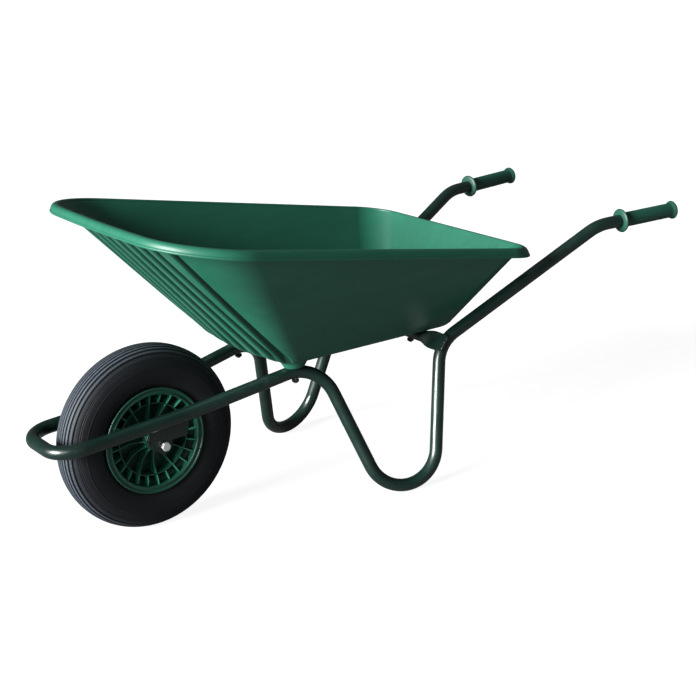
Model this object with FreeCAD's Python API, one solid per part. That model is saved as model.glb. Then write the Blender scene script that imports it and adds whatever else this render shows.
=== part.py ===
import FreeCAD, Part
import math
import os

# Wheelbarrow with one front wheel, a bent steel tube frame and a moulded tray.
# Frame: +X runs from the wheel to the grips, -Y is the user's left, +Z is up.
# The origin is on the ground below the middle of the length. Millimetres.

V = FreeCAD.Vector

# ---- wheel ----
AXLE_X = -486.0
WHEEL_R = 190.0
TYRE_HALF_W = 43.5
TYRE_SECTION_R = 50.0
TYRE_SQUARENESS = 2.3
TREAD_PITCH = 7.2
TREAD_GROOVES = 10
GROOVE_W = 1.8
GROOVE_DEPTH = 2.0
BEAD_SEAT_R = 100.0
FLANGE_R = 109.5
RIM_HALF_W = 43.5
BARREL_R = 95.0
DROP_R = 86.0
RING_R = 75.0
HUB_R = 21.0
HUB_HALF_W = 40.0
BLADES = 24
BLADE_T = 2.4
WEB_T = 4.0
WEB_HALF_W = 31.0
SPOKE_DISH_Y = 21.0
TYRE_T = 6.5
TYRE_BEAD_ANGLE = 2.42
TUBE_LIFT = 0.8
TUBE_SKIN = 2.0
TUBE_EDGE_ANGLE = 2.36
SECTION_STEPS = 26
VALVE_ANGLE = 97.5
VALVE_Y = 12.0
VALVE_R = 92.0

# ---- axle ----
AXLE_R = 5.0
RUNNING_GAP = 0.05
BRACKET_Y = 74.0
BRACKET_T = 4.0
BRACKET_TAB_R = 17.3
AXLE_WASHER_R = 10.5
AXLE_WASHER_T = 2.5
AXLE_HEX_AF = 16.0
AXLE_HEX_T = 7.0
AXLE_NUT_COLLAR_R = 7.4
AXLE_NUT_COLLAR_T = 3.5
AXLE_END = 14.0
SPACER_R = 10.0
SPACER_Y = 43.6
BUSH_R = 11.0
BUSH_Y = 12.0
BUSH_FLANGE_R = 17.0
BUSH_FLANGE_T = 3.0

# ---- frame tube ----
TUBE_R = 14.0
TUBE_WALL = 1.5
NOSE = V(AXLE_X - 223.7, 81.0, 229.7)
NOSE_BEND = 56.0
SIDE = V(AXLE_X + 55.0, 82.0, 243.7)
SIDE_BEND = 300.0
HUMP = V(AXLE_X + 346.0, 117.5, 288.7)
HUMP_BEND = 84.0
LEG_APEX = V(AXLE_X + 472.0, 296.0, -199.28)
LEG_BEND = 78.0
KNEE = V(AXLE_X + 610.0, 183.5, 280.0)
KNEE_BEND = 82.0
SHOULDER = V(AXLE_X + 1000.0, 254.0, 470.0)
SHOULDER_BEND = 108.0
GRIP_END = V(AXLE_X + 1204.5, 274.0, 469.0)
HOOP_CUT_X = -250.0
KNEE_CUT = 60.0

# ---- rear cross tube ----
CROSS_R = 12.7
CROSS_X = 118.35
CROSS_Z = 285.0
CROSS_ROUND_Y = 130.0
CROSS_FLAT_Y = 166.0
CROSS_END_Y = 204.0
FLAT_H = 40.0
FLAT_T = 4.0
FLAT_TILT = 49.8
NEAR_ROUND = 0.3

# ---- tray ----
# Each outline is: front x at the centre, bow of the front edge, half width at
# the front, rear x, half width at the rear, corner radii front and rear, and
# the height at x = 0 with the slope of its plane.
RIM = dict(xf=-521.0, bow=10.0, wf=305.0, xr=309.5, wr=273.5, rf=134.0, rr=62.0, z0=528.9, dz=-0.209)
BASE = dict(xf=-244.0, bow=15.0, wf=162.0, xr=207.0, wr=144.0, rf=34.0, rr=52.0, z0=302.3, dz=-0.0445)
WALL = 4.2
FLOOR_T = 0.0165
LIP_OUT = 19.7
LIP_DOWN = 16.2
FLUTE_PITCH = 49.0
FLUTE_COUNT = 7
FLUTE_MOUTH = 30.0
FLUTE_FLOOR = 20.0
FLUTE_DEPTH = 9.5
FLUTE_TOP_T = 0.93
CORNER_FLUTE_MOUTH = 24.0
CORNER_FLUTE_TOP_Y = 212.0
CORNER_FLUTE_BASE_Y = 157.0
FOOT_X = -193.0
FRONT_FOOT_R = 23.0
REAR_FOOT_R = 18.0
FOOT_FLARE = 10.0
FOOT_WRAP = 4.0
REAR_BOLT_Y = 90.0
BOLT8_R = 3.95
BOLT8_HOLE_R = 4.25
WASHER8_R = 15.0
WASHER8_T = 2.0
WASHER_SEAT = 1.0
WASHER_LIFT = 0.3
DOME_R = 13.0
DOME_DROP = 8.6
NUT8_AF = 13.0
NUT8_T = 6.5
NUT_DROP = 0.7
BOLT8_END = 10.0

# ---- grips ----
GRIP_R = 16.2
GRIP_LEN = 143.0
COLLAR_R = 26.0
END_FLANGE_R = 20.3


def left(p):
    """The point on the user's left side, where Y is negative."""
    return V(p.x, -p.y, p.z)


def mirrored(shape):
    return shape.mirror(V(0, 0, 0), V(0, 1, 0))


def unit(v):
    return V(v).normalize()


def cylinder(radius, start, end):
    axis = end - start
    return Part.makeCylinder(radius, axis.Length, start, axis)


# ---------------------------------------------------------------- frame tube

def bend_path(points, radii):
    """Straight runs joined by round bends, as one wire."""
    edges = []
    here = points[0]
    for corner, after, radius in zip(points[1:-1], points[2:], radii):
        back = unit(here - corner)
        ahead = unit(after - corner)
        half = back.getAngle(ahead) / 2
        run = radius / math.tan(half)
        start = corner + back * run
        end = corner + ahead * run
        middle = corner + unit(back + ahead) * (radius / math.sin(half) - radius)
        edges.append(Part.makeLine(here, start))
        edges.append(Part.Arc(start, middle, end).toShape())
        here = end
    edges.append(Part.makeLine(here, points[-1]))
    return Part.Wire(edges)


def rod(points, radii, radius):
    path = bend_path(points, radii)
    direction = points[1] - points[0]
    section = Part.Wire(Part.makeCircle(radius, points[0], direction))
    return Part.Solid(path.makePipeShell([section], True, False))


def tube(points, radii):
    """Round tube with open ends."""
    first = points[0] - unit(points[1] - points[0]) * 1.0
    last = points[-1] + unit(points[-1] - points[-2]) * 1.0
    bore = rod([first] + points[1:-1] + [last], radii, TUBE_R - TUBE_WALL)
    return rod(points, radii, TUBE_R).cut(bore)


def along(a, b, x):
    """The point on the line from a to b at a given X."""
    return a + (b - a) * ((x - a.x) / (b.x - a.x))


def hoop_end():
    return left(along(SIDE, HUMP, HOOP_CUT_X))


def knee_end():
    return left(KNEE + unit(SHOULDER - KNEE) * KNEE_CUT)


def leg_points():
    return [hoop_end(), left(HUMP), left(LEG_APEX), left(KNEE), knee_end()]


def leg_radii():
    return [HUMP_BEND, LEG_BEND, KNEE_BEND]


def hoop():
    """Nose hoop and the two side tubes, round the front of the wheel."""
    half = [hoop_end(), left(SIDE), left(NOSE)]
    points = half + [left(p) for p in reversed(half)]
    return tube(points, [SIDE_BEND, NOSE_BEND, NOSE_BEND, SIDE_BEND])


def grip_axis():
    return unit(left(GRIP_END) - left(SHOULDER))


def handle():
    end = left(GRIP_END) - grip_axis() * 2.0
    return tube([knee_end(), left(SHOULDER), end], [SHOULDER_BEND])


def leg():
    body = tube(leg_points(), leg_radii())
    return body.cut(bolt_line(front_bolt_foot(), BOLT8_HOLE_R, -30.0, 60.0))


# --------------------------------------------------------------- cross tube

def oval_wire(y, height, thickness):
    """Flattened tube section, tilted to lie along the knee bend."""
    tilt = math.radians(FLAT_TILT)
    along_flat = V(math.cos(tilt), 0, math.sin(tilt))
    across = V(-math.sin(tilt), 0, math.cos(tilt))
    centre = V(CROSS_X, y, CROSS_Z)
    r = thickness / 2
    reach = height / 2 - r
    top = centre + along_flat * reach
    low = centre - along_flat * reach
    side_a = Part.makeLine(low + across * r, top + across * r)
    cap_a = Part.Arc(top + across * r, top + along_flat * r, top - across * r).toShape()
    side_b = Part.makeLine(top - across * r, low - across * r)
    cap_b = Part.Arc(low - across * r, low - along_flat * r, low + across * r).toShape()
    return Part.Wire([side_a, cap_a, side_b, cap_b])


def cross_solid(inset, flat_t, end_y):
    """The cross tube's shape from end to end, its skin moved in by inset."""
    height = 2 * (CROSS_R - inset)
    round_part = (CROSS_ROUND_Y, height, height - NEAR_ROUND)
    flat_part = (min(CROSS_FLAT_Y, end_y), FLAT_H - 2 * inset, flat_t)
    sections = [round_part, flat_part]
    if end_y > CROSS_FLAT_Y:
        sections.append((end_y, FLAT_H, flat_t))
    wires = [oval_wire(-y, h, t) for y, h, t in reversed(sections)]
    wires += [oval_wire(y, h, t) for y, h, t in sections]
    return Part.makeLoft(wires, True, True)


def cross_tube():
    body = cross_solid(0.0, FLAT_T, CROSS_END_Y)
    body = body.cut(cross_solid(TUBE_WALL, FLAT_T - 2 * TUBE_WALL, CROSS_FLAT_Y - 3.0))
    for foot in (rear_bolt_foot(), left(rear_bolt_foot())):
        body = body.cut(bolt_line(foot, BOLT8_HOLE_R, -30.0, 40.0))
    return body


# ------------------------------------------------------------- axle and hub

def axle_point(y):
    return V(AXLE_X, y, WHEEL_R)


def bracket():
    """Plate welded under the side tube, with a round tab at the axle."""
    y = -(BRACKET_Y + BRACKET_T)

    def at(x, z):
        return V(AXLE_X + x, y, WHEEL_R + z)

    def on_tab(degrees):
        a = math.radians(degrees)
        return at(BRACKET_TAB_R * math.cos(a), BRACKET_TAB_R * math.sin(a))

    tab_front = on_tab(208)
    tab_rear = on_tab(-10)
    front_side = [tab_front, at(-27.0, -5.0), at(-28.0, 50.0)]
    rear_side = [at(60.0, 54.0), at(58.0, 29.0), at(53.0, 8.0), at(17.5, 8.0), tab_rear]
    edges = [Part.makePolygon(front_side + rear_side)]
    edges.append(Part.Arc(tab_rear, on_tab(-90), tab_front).toShape())
    plate = Part.Face(Part.Wire(edges)).extrude(V(0, BRACKET_T, 0))
    plate = plate.cut(cylinder(AXLE_R + 0.2, axle_point(-100), axle_point(-60)))
    side = rod([hoop_end(), left(SIDE), left(NOSE)], [SIDE_BEND], TUBE_R + 0.02)
    above = Part.makeBox(120.0, 3 * BRACKET_T, 60.0, V(AXLE_X - 50.0, y - BRACKET_T, SIDE.z))
    return plate.cut(side).cut(above)


def hexagon(across_flats, start, end):
    """Hexagonal prism from start to end, along Y."""
    corner = across_flats / math.sqrt(3)
    points = []
    for i in range(7):
        a = math.radians(60 * i)
        points.append(start + V(corner * math.cos(a), 0, corner * math.sin(a)))
    return Part.Face(Part.makePolygon(points)).extrude(end - start)


def axle_bolt():
    seat = -(BRACKET_Y + BRACKET_T + AXLE_WASHER_T)
    shank = cylinder(AXLE_R, axle_point(seat), axle_point(-seat + AXLE_END))
    face = axle_point(seat - AXLE_HEX_T)
    head = hexagon(AXLE_HEX_AF, face, axle_point(seat))
    crown = Part.makeCone(AXLE_HEX_AF / 2 - 2.0, AXLE_HEX_AF / 2 + 1.4, AXLE_HEX_T, face, V(0, 1, 0))
    return shank.fuse(head.common(crown))


def axle_nut():
    seat = BRACKET_Y + BRACKET_T + AXLE_WASHER_T
    top = seat + AXLE_HEX_T
    nut = hexagon(AXLE_HEX_AF, axle_point(seat), axle_point(top))
    collar = cylinder(AXLE_NUT_COLLAR_R, axle_point(top), axle_point(top + AXLE_NUT_COLLAR_T))
    return nut.fuse(collar).cut(cylinder(AXLE_R + 0.02, axle_point(seat - 1), axle_point(seat + 20)))


def axle_washer():
    y = -(BRACKET_Y + BRACKET_T)
    disc = cylinder(AXLE_WASHER_R, axle_point(y - AXLE_WASHER_T), axle_point(y))
    return disc.cut(cylinder(AXLE_R + 0.3, axle_point(-100), axle_point(-60)))


def spacer():
    sleeve = cylinder(SPACER_R, axle_point(-BRACKET_Y), axle_point(-SPACER_Y))
    return sleeve.cut(cylinder(AXLE_R + 0.3, axle_point(-100), axle_point(-30)))


def bush():
    """Flanged bush, pressed in the left end of the hub."""
    body = cylinder(BUSH_R, axle_point(-HUB_HALF_W), axle_point(-BUSH_Y))
    flange = cylinder(BUSH_FLANGE_R, axle_point(-HUB_HALF_W - BUSH_FLANGE_T), axle_point(-HUB_HALF_W))
    return body.fuse(flange).cut(cylinder(AXLE_R + RUNNING_GAP, axle_point(-60), axle_point(0)))


# -------------------------------------------------------------------- wheel

def ring_of(points):
    """Revolve a closed (y, radius) outline about the axle."""
    corners = [axle_point(y) + V(0, 0, r) for y, r in points]
    face = Part.Face(Part.makePolygon(corners + corners[:1]))
    return face.revolve(axle_point(0), V(0, 1, 0), 360)


def rim_ring():
    outside = [(0.0, DROP_R + 3.5), (15.0, DROP_R + 3.5), (22.0, BEAD_SEAT_R), (37.6, BEAD_SEAT_R)]
    flange = [(38.6, 105.5), (41.0, FLANGE_R), (RIM_HALF_W, FLANGE_R), (RIM_HALF_W, 106.0)]
    channel = [(41.2, 105.0), (41.2, 100.5), (42.8, 99.5), (42.8, BARREL_R + 1.0)]
    inside = [(41.0, BARREL_R), (24.0, BARREL_R), (17.0, DROP_R), (0.0, DROP_R)]
    half = outside + flange + channel + inside
    return ring_of(half + [(-y, r) for y, r in reversed(half) if y > 0])


def band(inner, outer, half_width):
    return ring_of([(-half_width, inner), (half_width, inner), (half_width, outer), (-half_width, outer)])


def blade():
    """Short plate between the inner ring and the barrel, pointing up."""
    r0 = RING_R - 0.5
    half = [(WEB_HALF_W, r0), (34.0, BARREL_R + 0.5), (22.0, BARREL_R + 0.5), (16.0, DROP_R + 1.0)]
    return upright_plate(half + [(-y, r) for y, r in reversed(half)], BLADE_T)


def spoke():
    """Plate from hub to inner ring, its edges dished between them."""
    half = [(34.0, HUB_R - 1.0), (25.0, 31.0), (SPOKE_DISH_Y, 43.0), (22.5, 56.0)]
    half.append((WEB_HALF_W, RING_R + 0.5))
    return upright_plate(half + [(-y, r) for y, r in reversed(half)], BLADE_T)


def upright_plate(profile, thickness):
    corners = [axle_point(y) + V(-thickness / 2, 0, r) for y, r in profile]
    face = Part.Face(Part.makePolygon(corners + corners[:1]))
    return face.extrude(V(thickness, 0, 0))


def turned(shape, degrees):
    copy = shape.copy()
    copy.rotate(axle_point(0), V(0, 1, 0), degrees)
    return copy


def valve_line():
    """Start and direction of the valve, leaning out to the right."""
    angle = math.radians(VALVE_ANGLE)
    radial = V(math.cos(angle), 0, math.sin(angle))
    start = axle_point(VALVE_Y) + radial * VALVE_R
    return start, unit(V(0, 0.93, 0) - radial * 0.36)


def wheel_centre():
    inner_ring = band(RING_R - BLADE_T / 2, RING_R + BLADE_T / 2, WEB_HALF_W)
    body = rim_ring().fuse([inner_ring, band(8.0, HUB_R, HUB_HALF_W)])
    body = body.fuse(band(HUB_R - 2.0, DROP_R + 1.0, WEB_T / 2))
    step = 360.0 / BLADES
    plates = [turned(blade(), step * i) for i in range(BLADES)]
    plates += [turned(spoke(), step * 2 * i) for i in range(BLADES // 2)]
    body = body.fuse(plates)
    body = body.cut(cylinder(BUSH_R, axle_point(-60), axle_point(60)))
    start, way = valve_line()
    body = body.cut(cylinder(5.6, start - way * 14.0, start + way * 16.0))
    return body.removeSplitter()


def tyre_contour(angle, inset):
    """Half width and radius of the rounded-square tyre section."""
    power = 2.0 / TYRE_SQUARENESS
    c = math.cos(angle)
    s = math.sin(angle)
    radial = math.copysign(abs(c) ** power, c) * (TYRE_SECTION_R - inset)
    return abs(s) ** power * (TYRE_HALF_W - inset), WHEEL_R - TYRE_SECTION_R + radial


def section_line(last, inset):
    """Points of the tyre section from its crown down to an angle."""
    return [tyre_contour(last * i / SECTION_STEPS, inset) for i in range(SECTION_STEPS + 1)]


def tyre():
    """Hollow tyre with a ribbed tread; its beads sit inside the flanges."""
    outer = section_line(TYRE_BEAD_ANGLE, 0.0)
    inner = section_line(TYRE_BEAD_ANGLE, TYRE_T)
    bead = [(36.8, 104.5), (36.8, BEAD_SEAT_R + 0.2), (25.0, BEAD_SEAT_R + 0.2)]
    half = outer + bead + list(reversed(inner))
    body = ring_of(half + [(-y, r) for y, r in reversed(half) if y > 0.01])
    for i in range(TREAD_GROOVES):
        body = body.cut(tread_groove((i - (TREAD_GROOVES - 1) / 2) * TREAD_PITCH))
    return body


def tread_groove(y):
    """One groove round the tread, cut square to the surface."""
    share = (abs(y) / TYRE_HALF_W) ** TYRE_SQUARENESS
    radius = WHEEL_R - TYRE_SECTION_R + TYRE_SECTION_R * (1 - share) ** (1 / TYRE_SQUARENESS)
    lean = math.atan(1.9 * (y / TYRE_HALF_W) ** 3 * 1.4)
    out = (math.sin(lean), math.cos(lean))
    side = (math.cos(lean), -math.sin(lean))
    points = []
    for u, w in ((-1, -1), (1, -1), (1, 1), (-1, 1)):
        depth = 3.0 if w > 0 else -GROOVE_DEPTH
        a = y + out[0] * depth + side[0] * u * GROOVE_W / 2
        points.append((a, radius + out[1] * depth + side[1] * u * GROOVE_W / 2))
    return ring_of(points)


def inner_tube():
    """Thin air tube lining the tyre and the rim."""
    wall = section_line(TUBE_EDGE_ANGLE, TYRE_T + TUBE_LIFT)
    wall += [(23.5, BEAD_SEAT_R + 1.0), (21.5, BEAD_SEAT_R + 1.0)]
    wall += [(18.5, BEAD_SEAT_R - 3.0), (14.0, DROP_R + 4.8)]
    skin = section_line(TUBE_EDGE_ANGLE, TYRE_T + TUBE_LIFT + TUBE_SKIN)
    skin += [(22.0, BEAD_SEAT_R + 3.0), (20.3, BEAD_SEAT_R + 3.0)]
    skin += [(17.2, BEAD_SEAT_R - 1.4), (13.2, DROP_R + 6.8)]
    outer = ring_of(wall + [(-y, r) for y, r in reversed(wall) if y > 0.01])
    inner = ring_of(skin + [(-y, r) for y, r in reversed(skin) if y > 0.01])
    return outer.cut(inner)


def valve_stem():
    start, way = valve_line()
    base = cylinder(5.5, start - way * 1.0, start + way * 9.0)
    stem = cylinder(3.9, start + way * 9.0, start + way * 30.0)
    rim_outside = band(DROP_R + 3.6, 130.0, 30.0)
    return base.fuse(stem).cut(rim_outside)


def valve_cap():
    start, way = valve_line()
    cap = cylinder(5.0, start + way * 22.0, start + way * 33.0)
    return cap.cut(cylinder(3.95, start + way * 21.0, start + way * 30.2))


# --------------------------------------------------------------------- tray

def blend(t):
    """Outline values part way up the wall, 0 at the base and 1 at the rim."""
    return {key: BASE[key] + (RIM[key] - BASE[key]) * t for key in BASE}


def outline(t, grow=0.0, lift=0.0):
    """Closed tray outline at height share t, grown outwards and lifted."""
    o = blend(t)
    taper = (o["wr"] - o["wf"]) / (o["xr"] - o["xf"])
    xf = o["xf"] - grow
    xr = o["xr"] + grow
    wf = o["wf"] + grow - taper * grow
    wr = o["wr"] + grow + taper * grow
    rf = o["rf"] + grow
    rr = o["rr"] + grow

    def at(x, y):
        return V(x, y, o["z0"] + o["dz"] * x + lift)

    corner_f = rf * (1 - math.sqrt(0.5))
    corner_r = rr * (1 - math.sqrt(0.5))
    front = Part.Arc(at(xf, wf - rf), at(xf - o["bow"], 0), at(xf, rf - wf)).toShape()
    bend_fl = Part.Arc(at(xf, rf - wf), at(xf + corner_f, corner_f - wf), at(xf + rf, -wf)).toShape()
    side_l = Part.makeLine(at(xf + rf, -wf), at(xr - rr, -wr))
    bend_rl = Part.Arc(at(xr - rr, -wr), at(xr - corner_r, corner_r - wr), at(xr, rr - wr)).toShape()
    rear = Part.makeLine(at(xr, rr - wr), at(xr, wr - rr))
    bend_rr = Part.Arc(at(xr, wr - rr), at(xr - corner_r, wr - corner_r), at(xr - rr, wr)).toShape()
    side_r = Part.makeLine(at(xr - rr, wr), at(xf + rf, wf))
    bend_fr = Part.Arc(at(xf + rf, wf), at(xf + corner_f, wf - corner_f), at(xf, wf - rf)).toShape()
    return Part.Wire([front, bend_fl, side_l, bend_rl, rear, bend_rr, side_r, bend_fr])


def stack(wires):
    """Solid through a stack of outlines, straight between them."""
    return Part.makeLoft(wires, True, True)


def front_line(y, t):
    """Point on the outer front wall at a given Y and height share."""
    o = blend(t)
    flat = o["wf"] - o["rf"]
    bow = o["bow"] * (1 - (min(abs(y), flat) / flat) ** 2)
    past = max(0.0, abs(y) - flat)
    curl = o["rf"] - math.sqrt(max(0.0, o["rf"] ** 2 - past ** 2))
    x = o["xf"] - bow + curl
    return V(x - WALL * t, y, o["z0"] + o["dz"] * x)


def flute(y_top, y_base, mouth, floor, depth):
    """Tapered bar that cuts one flute in the front wall."""
    low = front_line(y_base, 0.0)
    top = front_line(y_top, FLUTE_TOP_T)
    inward = unit((top - low).cross(V(0, 1, 0)))
    if inward.z < 0:
        inward = inward * -1.0
    wires = []
    for p in (low + (low - top) * 0.12, top):
        shape = [p - inward * 14.0 + V(0, half, 0) for half in (-mouth * 0.62, mouth * 0.62)]
        shape += [p + V(0, mouth / 2, 0), p + inward * depth + V(0, floor / 2, 0)]
        shape += [p + inward * depth - V(0, floor / 2, 0), p - V(0, mouth / 2, 0)]
        wires.append(Part.makePolygon(shape + shape[:1]))
    return Part.makeLoft(wires, True, True)


def flutes(extra):
    """All the flutes; extra widens and deepens them for the inner face."""
    bars = []
    depth = FLUTE_DEPTH + extra
    for i in range(FLUTE_COUNT):
        y = (i - (FLUTE_COUNT - 1) / 2) * FLUTE_PITCH
        bars.append(flute(y, y * 0.94, FLUTE_MOUTH + extra, FLUTE_FLOOR + extra, depth))
    for side in (-1, 1):
        mouth = CORNER_FLUTE_MOUTH + extra
        bars.append(flute(side * CORNER_FLUTE_TOP_Y, side * CORNER_FLUTE_BASE_Y, mouth, mouth * 0.4, depth))
    return bars


def tray_rim():
    """Rolled rim: rises from the wall, curls out and hangs down."""
    hang = [(LIP_OUT + 1.2, -LIP_DOWN - 2.0), (LIP_OUT, -LIP_DOWN + 1.5), (LIP_OUT - 1.5, -7.5)]
    crest = [(LIP_OUT - 6.5, -2.2), (7.5, 0.6), (3.0, 0.6), (0.8, -0.6)]
    cap = stack([outline(1.0, grow, lift) for grow, lift in hang + crest])
    under = [(LIP_OUT - 2.0, -LIP_DOWN - 4.0), (LIP_OUT - 3.2, -LIP_DOWN + 1.5), (LIP_OUT - 4.7, -9.0)]
    under += [(LIP_OUT - 8.5, -5.0), (7.0, -2.8)]
    hollow = stack([outline(1.0, grow, lift) for grow, lift in under])
    return cap.cut(hollow)


def tray():
    base = [outline(0.0, -10.0), outline(0.017, -2.5), outline(0.055, 0.0)]
    outer = stack(base + [outline(1.0, WALL, -1.5)])
    outer = outer.cut(flutes(0.0))
    room = [outline(FLOOR_T, -15.0), outline(0.035, -7.5), outline(0.075, -WALL)]
    room = stack(room + [outline(1.0, 0.0), outline(1.06, 0.0)])
    body = outer.fuse(tray_rim())
    body = body.fuse(feet())
    body = body.cut(room.cut(flutes(WALL)))
    body = body.cut(cross_solid(0.0, FLAT_T, CROSS_END_Y))
    return body.cut(bolt_holes()).removeSplitter()


def floor_normal():
    return unit(V(-BASE["dz"], 0, 1))


def front_bolt_foot():
    """Where a front bolt crosses the centre of the hump tube, left side."""
    path = bend_path(leg_points(), leg_radii())
    edge = min(path.Edges, key=lambda e: abs(e.CenterOfMass.x - FOOT_X))
    wall = Part.makeBox(1.0, 400.0, 400.0, V(FOOT_X - 1.0, -400.0, 0.0))
    return edge.common(wall).Vertexes[-1].Point


def rear_bolt_foot():
    return V(CROSS_X, -REAR_BOLT_Y, CROSS_Z)


def bolt_line(foot, radius, low, high):
    """Cylinder square to the tray floor through a tube centre."""
    n = floor_normal()
    return cylinder(radius, foot + n * low, foot + n * high)


def feet():
    """Four flared pads under the tray that sit on the frame tubes."""
    leg_room = rod(leg_points(), leg_radii(), TUBE_R + 0.2)
    cross_room = cylinder(CROSS_R + 0.2, V(CROSS_X, -200, CROSS_Z), V(CROSS_X, 200, CROSS_Z))
    front = (front_bolt_foot(), FRONT_FOOT_R, TUBE_R, leg_room)
    rear = (rear_bolt_foot(), REAR_FOOT_R, CROSS_R, cross_room)
    pads = []
    for foot, radius, tube_r, room in (front, rear):
        top = BASE["z0"] + BASE["dz"] * foot.x + 1.0
        low = V(foot.x, foot.y, foot.z + tube_r - FOOT_WRAP)
        pads.append(Part.makeCone(radius, radius + FOOT_FLARE, top - low.z, low).cut(room))
    return pads + [mirrored(pad) for pad in pads]


def bolt_feet():
    """The bolt places: foot point, height of the floor above it, tube radius."""
    spots = []
    for foot, tube_r in ((front_bolt_foot(), TUBE_R), (rear_bolt_foot(), CROSS_R)):
        inside = blend(FLOOR_T)
        floor = inside["z0"] + inside["dz"] * foot.x
        spots.append((foot, (floor - foot.z) * floor_normal().z, tube_r))
    return spots


def bolt_holes():
    """Bolt holes through the floor and pads, with a shallow washer seat."""
    holes = []
    for foot, floor, tube_r in bolt_feet():
        hole = bolt_line(foot, BOLT8_HOLE_R, -30.0, 60.0)
        holes.append(hole.fuse(bolt_line(foot, WASHER8_R + 0.5, floor - WASHER_SEAT, floor + 5.0)))
    return holes + [mirrored(hole) for hole in holes]


def washer_bottom(floor):
    return floor - WASHER_SEAT + WASHER_LIFT


def tray_bolt(foot, floor, tube_r):
    """Round-headed bolt from inside the tray down through the tube."""
    seat = washer_bottom(floor) + WASHER8_T
    n = floor_normal()
    shank = bolt_line(foot, BOLT8_R, -tube_r - BOLT8_END, seat)
    ball = Part.makeSphere(DOME_R, foot + n * (seat - DOME_DROP))
    dome = ball.common(bolt_line(foot, DOME_R, seat, seat + DOME_R))
    return shank.fuse(dome)


def tray_washer(foot, floor):
    low = washer_bottom(floor)
    disc = bolt_line(foot, WASHER8_R, low, low + WASHER8_T)
    return disc.cut(bolt_line(foot, BOLT8_HOLE_R, low - 5.0, low + 5.0))


def tray_nut(foot, tube_r):
    n = floor_normal()
    start = foot - n * (tube_r + NUT_DROP)
    block = hexagon(NUT8_AF, V(0, 0, 0), V(0, NUT8_T, 0))
    block.rotate(V(0, 0, 0), V(1, 0, 0), -90)
    block.rotate(V(0, 0, 0), V(0, 1, 0), math.degrees(math.atan(-BASE["dz"])))
    block.translate(start)
    return block.cut(bolt_line(foot, BOLT8_R + 0.03, -40.0, 0.0))


# -------------------------------------------------------------------- grips

def grip():
    """Hand grip with a guard collar in front and a flange at the end."""
    end = left(GRIP_END)
    back = grip_axis() * -1.0
    body = cylinder(GRIP_R, end, end + back * GRIP_LEN)
    collar_at = end + back * GRIP_LEN
    collar = Part.makeCone(COLLAR_R - 3.0, COLLAR_R, 2.5, collar_at - back * 3.0, back)
    collar = collar.fuse(cylinder(COLLAR_R, collar_at - back * 0.5, collar_at + back * 2.0))
    collar = collar.fuse(Part.makeCone(COLLAR_R, 17.0, 6.0, collar_at + back * 2.0, back))
    knob = Part.makeCone(GRIP_R, END_FLANGE_R, 5.0, end + back * 8.0, back * -1.0)
    knob = knob.fuse(cylinder(END_FLANGE_R, end + back * 3.0, end - back * 1.0))
    knob = knob.fuse(Part.makeCone(END_FLANGE_R, END_FLANGE_R - 3.0, 2.5, end - back * 1.0, back * -1.0))
    body = body.fuse([collar, knob])
    bore = cylinder(TUBE_R + 0.02, end + back * 1.5, end + back * (GRIP_LEN + 20.0))
    return body.cut(bore)


# ------------------------------------------------------------------- export

def save(node, shape):
    shape.exportStep(os.path.join("parts", node + ".step"))


def save_pair(node, shape):
    save(node + "_left", shape)
    save(node + "_right", mirrored(shape))


def main():
    os.makedirs("parts", exist_ok=True)
    save("frame_hoop", hoop())
    save_pair("leg", leg())
    save_pair("handle", handle())
    save("cross_tube", cross_tube())
    save_pair("axle_bracket", bracket())
    save("axle_bolt", axle_bolt())
    save("axle_nut", axle_nut())
    save_pair("axle_washer", axle_washer())
    save_pair("spacer", spacer())
    save_pair("hub_bush", bush())
    save("wheel_centre", wheel_centre())
    save("tyre", tyre())
    save("inner_tube", inner_tube())
    save("valve_stem", valve_stem())
    save("valve_cap", valve_cap())
    save("tray", tray())
    for place, (foot, floor, tube_r) in zip(("front", "rear"), bolt_feet()):
        save_pair(place + "_bolt", tray_bolt(foot, floor, tube_r))
        save_pair(place + "_washer", tray_washer(foot, floor))
        save_pair(place + "_nut", tray_nut(foot, tube_r))
    save_pair("grip", grip())


main()
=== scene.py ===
from math import copysign, cos, pi, radians, sin, sqrt, tan

import bpy
import numpy as np
from mathutils import Matrix, Vector, noise


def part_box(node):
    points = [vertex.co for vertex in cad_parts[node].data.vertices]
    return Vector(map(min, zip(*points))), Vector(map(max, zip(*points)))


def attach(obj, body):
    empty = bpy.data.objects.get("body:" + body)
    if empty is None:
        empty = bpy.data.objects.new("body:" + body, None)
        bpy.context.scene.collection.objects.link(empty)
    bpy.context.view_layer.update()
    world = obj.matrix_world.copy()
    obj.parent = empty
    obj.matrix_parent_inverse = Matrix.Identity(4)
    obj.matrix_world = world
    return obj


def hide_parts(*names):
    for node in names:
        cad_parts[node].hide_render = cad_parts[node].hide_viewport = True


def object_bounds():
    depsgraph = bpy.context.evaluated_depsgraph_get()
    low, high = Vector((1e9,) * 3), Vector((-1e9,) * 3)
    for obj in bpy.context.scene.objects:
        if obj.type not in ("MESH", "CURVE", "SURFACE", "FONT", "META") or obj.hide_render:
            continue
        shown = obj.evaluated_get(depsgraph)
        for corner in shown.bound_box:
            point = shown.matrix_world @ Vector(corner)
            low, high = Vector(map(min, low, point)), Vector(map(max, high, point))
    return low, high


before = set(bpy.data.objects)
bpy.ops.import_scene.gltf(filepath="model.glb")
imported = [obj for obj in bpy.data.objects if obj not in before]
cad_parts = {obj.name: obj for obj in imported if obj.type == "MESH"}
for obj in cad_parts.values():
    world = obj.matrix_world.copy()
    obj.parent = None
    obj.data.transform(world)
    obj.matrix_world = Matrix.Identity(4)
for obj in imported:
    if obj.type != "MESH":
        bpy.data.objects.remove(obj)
cad_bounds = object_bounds()

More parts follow.
